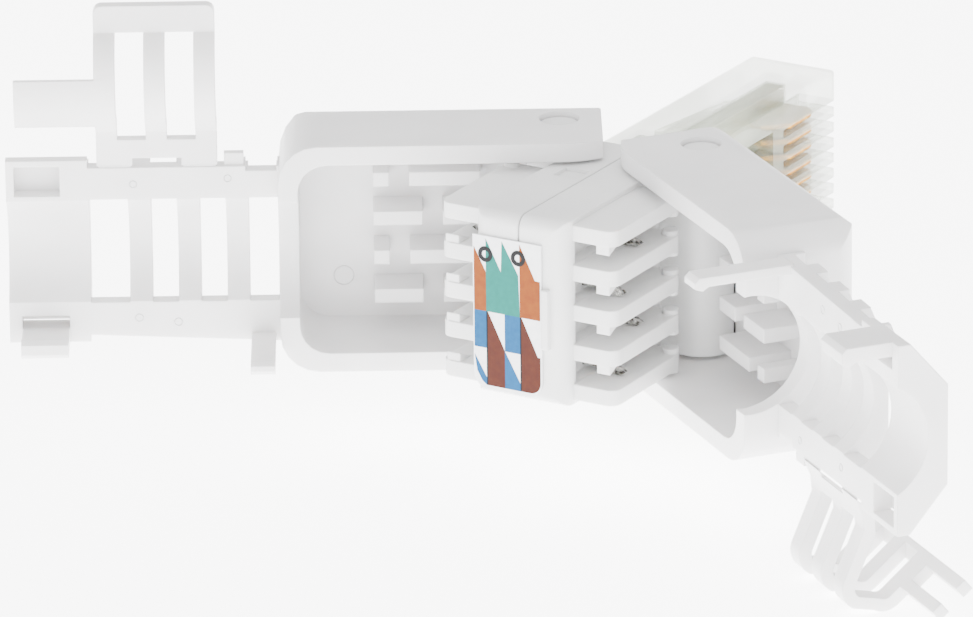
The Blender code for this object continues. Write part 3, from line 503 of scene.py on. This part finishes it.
def nose():
    """The clear nose with its lever, contacts and board."""
    clear = clear_polycarbonate()
    lever_root(clear)
    coat(("nose_housing", "latch_lever"), clear)
    coat(CONTACTS, gold_plate())
    coat(("circuit_board",), board_laminate())


# Label

def printed_field(shape, points, ink):
    """A thin closed patch of ink on the label, from points across and up in millimetres."""
    far = LABEL_FACE - PRINT_LIFT
    near = far - PRINT_THICK
    front = [shape.verts.new((x * MM, near * MM, z * MM)) for x, z in points]
    rear = [shape.verts.new((x * MM, far * MM, z * MM)) for x, z in points]
    faces = [shape.faces.new(front), shape.faces.new(rear[::-1])]
    for index in range(len(points)):
        other = (index + 1) % len(points)
        faces.append(shape.faces.new((front[other], front[index], rear[index], rear[other])))
    for face in faces:
        face.material_index = ink


def arc(centre, radius, start, end, steps):
    """Points on an arc, angles in degrees."""
    made = []
    for step in range(steps + 1):
        angle = math.radians(start + (end - start) * step / steps)
        made.append((centre[0] + radius * math.cos(angle), centre[1] + radius * math.sin(angle)))
    return made


def label_print(inks):
    """The wiring colours: pointed bands for striped wires, blocks for plain ones."""
    left, first, middle, second, right = PRINT_COLUMNS
    peak, shoulder, top, foot, bottom = PRINT_ROWS
    orange, green, blue, brown, black = range(len(inks))
    brown_left = first + PRINT_LINE
    brown_right = second + PRINT_LINE
    corner = arc((right - RIGHT_CORNER, bottom + RIGHT_CORNER), RIGHT_CORNER, 0, -90, 6)
    fields = (
        (orange, [(left, LEFT_PEAK), (first, shoulder), (first, top), (left, top)]),
        (green, [
            (first, peak), (GREEN_NOTCH, GREEN_NOTCHES), (GREEN_PEAK, peak),
            (second - PRINT_LINE, GREEN_NOTCHES), (second, top), (first, top),
        ]),
        (orange, [
            (second, peak), (RIGHT_SHOULDER, shoulder), (right, shoulder), (right, top), (second, top),
        ]),
        (blue, [(left, top), (first, top), (first, foot), (left, foot)]),
        (blue, [(middle, top), (second, top), (second, foot), (middle, foot)]),
        (brown, [(brown_left, top), (middle, foot), (middle, bottom), (brown_left, bottom)]),
        (brown, [(brown_right, top), (BROWN_SLOPE, foot), (right, foot), *corner, (brown_right, bottom)]),
        (blue, [(middle, foot), (second, BLUE_TIP), (second, bottom), (middle, bottom)]),
        (blue, [(left, BLUE_SLOPE), (first, BLUE_TIP), (first, bottom), *LEFT_CORNER]),
        (black, [(first, top), (brown_left, top), (brown_left, bottom), (first, bottom)]),
        (black, [(second, top), (brown_right, top), (brown_right, bottom), (second, bottom)]),
    )
    shape = bmesh.new()
    for ink, points in fields:
        printed_field(shape, points, ink)
    return shaped("label_print", shape, inks)


def label_marks(ink):
    """Two generic signs over the bands, a ring each."""
    far = LABEL_FACE - PRINT_LIFT - PRINT_THICK
    near = far - SIGN_THICK
    shape = bmesh.new()
    for centre in SIGNS:
        outer, inner = (
            arc(centre, radius, 0, 360, SIGN_CORNERS)[:-1] for radius in (SIGN_OUTER, SIGN_INNER)
        )
        rings = []
        for points, y in ((outer, near), (inner, near), (inner, far), (outer, far)):
            rings.append([shape.verts.new((x * MM, y * MM, z * MM)) for x, z in points])
        for index in range(SIGN_CORNERS):
            other = (index + 1) % SIGN_CORNERS
            for ring, following in zip(rings, rings[1:] + rings[:1]):
                shape.faces.new((ring[index], ring[other], following[other], following[index]))
    return shaped("label_marks", shape, [ink])


def label():
    """The paper label and its print."""
    coat(("wiring_label",), coated_paper("coated_paper", "#E9EAEC", "#F2F3F4"))
    black = coated_paper("black_ink", "#08080A", "#101014")
    inks = [
        coated_paper("orange_ink", "#743400", "#7E3E00"),
        coated_paper("green_ink", "#00645A", "#006C62"),
        coated_paper("blue_ink", "#004876", "#02507E"),
        coated_paper("brown_ink", "#3C0E00", "#441600"),
        black,
    ]
    for piece in (label_print(inks), label_marks(black)):
        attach(piece, "core")


# Studio

def camera():
    """The photograph's camera, from its fitted angles and distance."""
    azimuth, elevation, roll = (math.radians(value) for value in (AZIMUTH, ELEVATION, ROLL))
    level = Vector((math.cos(azimuth), math.sin(azimuth), 0))
    ahead = Vector((
        -math.sin(azimuth) * math.cos(elevation), math.cos(azimuth) * math.cos(elevation),
        -math.sin(elevation),
    ))
    upright = level.cross(ahead)
    across = level * math.cos(roll) + upright * math.sin(roll)
    up = upright * math.cos(roll) - level * math.sin(roll)
    place = (AIM + across * AIM_ACROSS + up * AIM_UP - ahead * DISTANCE) * MM
    lens = bpy.data.cameras.new("camera")
    lens.sensor_width = SENSOR
    lens.lens = PIXELS_PER_MM * DISTANCE / PHOTO_WIDTH * SENSOR
    lens.clip_start = CLIP_NEAR * MM
    lens.clip_end = CLIP_FAR * MM
    item = bpy.data.objects.new("camera", lens)
    turned = Matrix((across, up, -ahead)).transposed()
    item.matrix_world = Matrix.Translation(place) @ turned.to_4x4()
    bpy.context.scene.collection.objects.link(item)
    bpy.context.scene.camera = item


def soft_light(name, place, size, power):
    """A large square light that faces the plug."""
    data = bpy.data.lights.new(name, "AREA")
    data.size = size * MM
    data.energy = power
    item = bpy.data.objects.new(name, data)
    item.location = Vector(place) * MM
    item.rotation_mode = "QUATERNION"
    item.rotation_quaternion = (AIM - Vector(place)).to_track_quat("-Z", "Y")
    bpy.context.scene.collection.objects.link(item)


def studio():
    """Light table, pale surroundings and soft lights."""
    low = CAD_BOX[0][2]
    half = TABLE_HALF * MM
    mesh = bpy.data.meshes.new("floor")
    corners = [(-half, -half, low), (half, -half, low), (half, half, low), (-half, half, low)]
    mesh.from_pydata(corners, [], [(0, 1, 2, 3)])
    finished("floor", mesh, [light_table()])
    world = bpy.data.worlds.new("surroundings")
    world.use_nodes = True
    sky = world.node_tree.nodes["Background"]
    sky.inputs["Color"].default_value = colour("#F6F6F6")
    sky.inputs["Strength"].default_value = SKY_GLOW
    bpy.context.scene.world = world
    for name, (place, size, power) in LIGHTS.items():
        soft_light(name, place, size, power)


camera()
studio()
shells()
wiring_block()
nose()
label()
